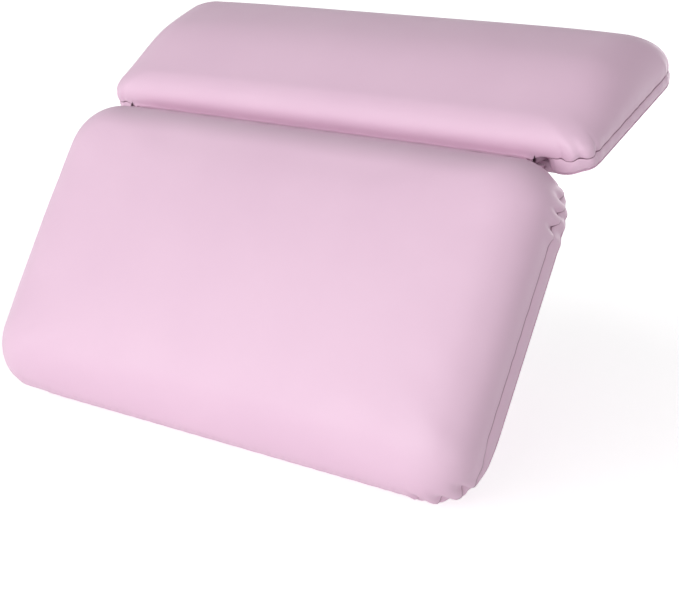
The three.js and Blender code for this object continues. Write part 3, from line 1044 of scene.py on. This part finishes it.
def blend_colours(nodes, links, factor, first, second):
    """Two colours, or outputs that give them, mixed by a factor."""
    mix = nodes.new("ShaderNodeMix")
    mix.data_type = "RGBA"
    links.new(factor, mix.inputs["Factor"])
    for socket, colour in ((mix.inputs[6], first), (mix.inputs[7], second)):
        if isinstance(colour, tuple):
            socket.default_value = (*colour, 1)
        else:
            links.new(colour, socket)
    return mix.outputs[2]


def bump(nodes, links, height, strength, distance, under=None):
    node = nodes.new("ShaderNodeBump")
    node.inputs["Strength"].default_value = strength
    node.inputs["Distance"].default_value = distance
    links.new(height, node.inputs["Height"])
    if under:
        links.new(under, node.inputs["Normal"])
    return node.outputs["Normal"]


def vinyl():
    """Satin pink vinyl: faint clouding, a soft waviness, a fine grain, and painted shade in the seams,
    the crease and on the web.
    """
    material, nodes, links, shader = node_material("pink_vinyl")
    where = nodes.new("ShaderNodeTexCoord")
    clouds = noise(nodes, links, where, scale=14, detail=3)
    waves = noise(nodes, links, where, scale=55, detail=2)
    grain = noise(nodes, links, where, scale=1500, detail=4)
    colour = blend_colours(nodes, links, spread(nodes, links, clouds, (0, 1)), *VINYL_SHADES)
    # Painted shade: the stored seam value takes the colour towards the painted seam shade, standing in
    # for the shade in the grooves and the crease
    seam = nodes.new("ShaderNodeAttribute")
    seam.attribute_name = "seam"
    colour = blend_colours(nodes, links, seam.outputs["Fac"], colour, PAINTED_SEAM_SHADE)
    links.new(colour, shader.inputs["Base Color"])
    links.new(spread(nodes, links, waves, (0.40, 0.50)), shader.inputs["Roughness"])
    soft = bump(nodes, links, waves, strength=0.04, distance=1.5 * MM)
    fine = bump(nodes, links, grain, strength=0.05, distance=0.1 * MM, under=soft)
    links.new(fine, shader.inputs["Normal"])
    shader.inputs["Specular IOR Level"].default_value = 0.45
    return material


def clear_vinyl():
    """Soft clear plastic of the cups, a little cloudy."""
    material, nodes, links, shader = node_material("clear_vinyl")
    where = nodes.new("ShaderNodeTexCoord")
    cloud = noise(nodes, links, where, scale=90, detail=3)
    links.new(blend_colours(nodes, links, cloud, *CLEAR_SHADES), shader.inputs["Base Color"])
    links.new(spread(nodes, links, cloud, (0.08, 0.2)), shader.inputs["Roughness"])
    shader.inputs["Transmission Weight"].default_value = 0.4
    shader.inputs["IOR"].default_value = 1.48
    return material


def moulded_plastic():
    """Pale pink moulded plastic of the eyelets."""
    material, nodes, links, shader = node_material("pink_plastic")
    where = nodes.new("ShaderNodeTexCoord")
    cloud = noise(nodes, links, where, scale=60, detail=3)
    grain = noise(nodes, links, where, scale=2200, detail=2)
    links.new(blend_colours(nodes, links, cloud, *PLASTIC_SHADES), shader.inputs["Base Color"])
    links.new(spread(nodes, links, cloud, (0.38, 0.55)), shader.inputs["Roughness"])
    fine = bump(nodes, links, grain, strength=0.12, distance=0.1 * MM)
    links.new(fine, shader.inputs["Normal"])
    return material


# Stage


def seen_directly(nodes, links):
    """One for rays that show the background: the camera's, and those of glossy and of clear surfaces."""
    paths = nodes.new("ShaderNodeLightPath")
    seen = paths.outputs["Is Camera Ray"]
    for ray in ("Is Glossy Ray", "Is Transmission Ray"):
        either = nodes.new("ShaderNodeMath")
        either.operation = "MAXIMUM"
        links.new(seen, either.inputs[0])
        links.new(paths.outputs[ray], either.inputs[1])
        seen = either.outputs["Value"]
    return seen


def floor_material():
    """White floor that keeps the shadow. What is seen of it is lifted towards white, most away from the
    part, and the lift adds no diffuse light."""
    material, nodes, links, shader = node_material("pale_floor")
    where = nodes.new("ShaderNodeTexCoord")
    cloud = noise(nodes, links, where, scale=3, detail=2)
    links.new(blend_colours(nodes, links, cloud, *FLOOR_SHADES), shader.inputs["Base Color"])
    shader.inputs["Roughness"].default_value = 0.9
    shader.inputs["Emission Color"].default_value = WHITE
    away = nodes.new("ShaderNodeVectorMath")
    away.operation = "LENGTH"
    links.new(where.outputs["Object"], away.inputs[0])
    level = spread(nodes, links, away.outputs["Value"], FLOOR_LIFT, FLOOR_LIFT_REACH)
    lift = nodes.new("ShaderNodeMath")
    lift.operation = "MULTIPLY"
    links.new(level, lift.inputs[0])
    links.new(seen_directly(nodes, links), lift.inputs[1])
    links.new(lift.outputs["Value"], shader.inputs["Emission Strength"])
    return material


def make_stage():
    """Wide floor just under the part."""
    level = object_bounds()[0][2] - FLOOR_DROP
    corners = [(side * FLOOR_HALF, end * FLOOR_HALF, level) for side, end in CORNER_SIGNS]
    mesh = bpy.data.meshes.new("floor")
    mesh.from_pydata(corners, [], [(0, 1, 2, 3)])
    mesh.materials.append(floor_material())
    floor = bpy.data.objects.new("floor", mesh)
    bpy.context.scene.collection.objects.link(floor)


def aim(obj, target):
    direction = Vector(target) - obj.location
    obj.rotation_euler = direction.to_track_quat("-Z", "Y").to_euler()


def make_lamp(name, place, target, size, power):
    lamp = bpy.data.lights.new(name, "AREA")
    lamp.shape = "SQUARE"
    lamp.size = size
    lamp.energy = power
    obj = bpy.data.objects.new(name, lamp)
    bpy.context.scene.collection.objects.link(obj)
    obj.location = place
    aim(obj, target)


def make_light():
    """Soft lamps, and a world that is white where it is seen and weaker as a light."""
    for name, (place, target, size, power) in LAMPS.items():
        make_lamp(name, place, target, size, power)
    world = bpy.data.worlds.new("studio")
    bpy.context.scene.world = world
    world.use_nodes = True
    nodes = world.node_tree.nodes
    links = world.node_tree.links
    strength = spread(nodes, links, seen_directly(nodes, links), (WORLD_STRENGTH, 1), (0, 1))
    links.new(strength, nodes["Background"].inputs["Strength"])
    nodes["Background"].inputs["Color"].default_value = WHITE


def make_camera():
    """Camera in the place fitted to the photo."""
    camera = bpy.data.objects.new("camera", bpy.data.cameras.new("camera"))
    bpy.context.scene.collection.objects.link(camera)
    back = Vector((
        math.sin(CAMERA_AZIMUTH) * math.cos(CAMERA_ELEVATION),
        -math.cos(CAMERA_AZIMUTH) * math.cos(CAMERA_ELEVATION),
        math.sin(CAMERA_ELEVATION),
    ))
    camera.location = CAMERA_TARGET + back * CAMERA_DISTANCE
    aim(camera, CAMERA_TARGET)
    camera.data.lens = LENS
    camera.data.sensor_width = SENSOR_WIDTH
    bpy.context.scene.camera = camera


bpy.context.scene.view_settings.view_transform = "Standard"
make_camera()
PINK = vinyl()
for each in (LOWER, UPPER):
    make_pad(each, PINK)
    make_band(each, PINK)
    make_back(each, PINK)
make_web(PINK)
make_crease(PINK)
make_cups(clear_vinyl(), moulded_plastic())
make_stage()
make_light()
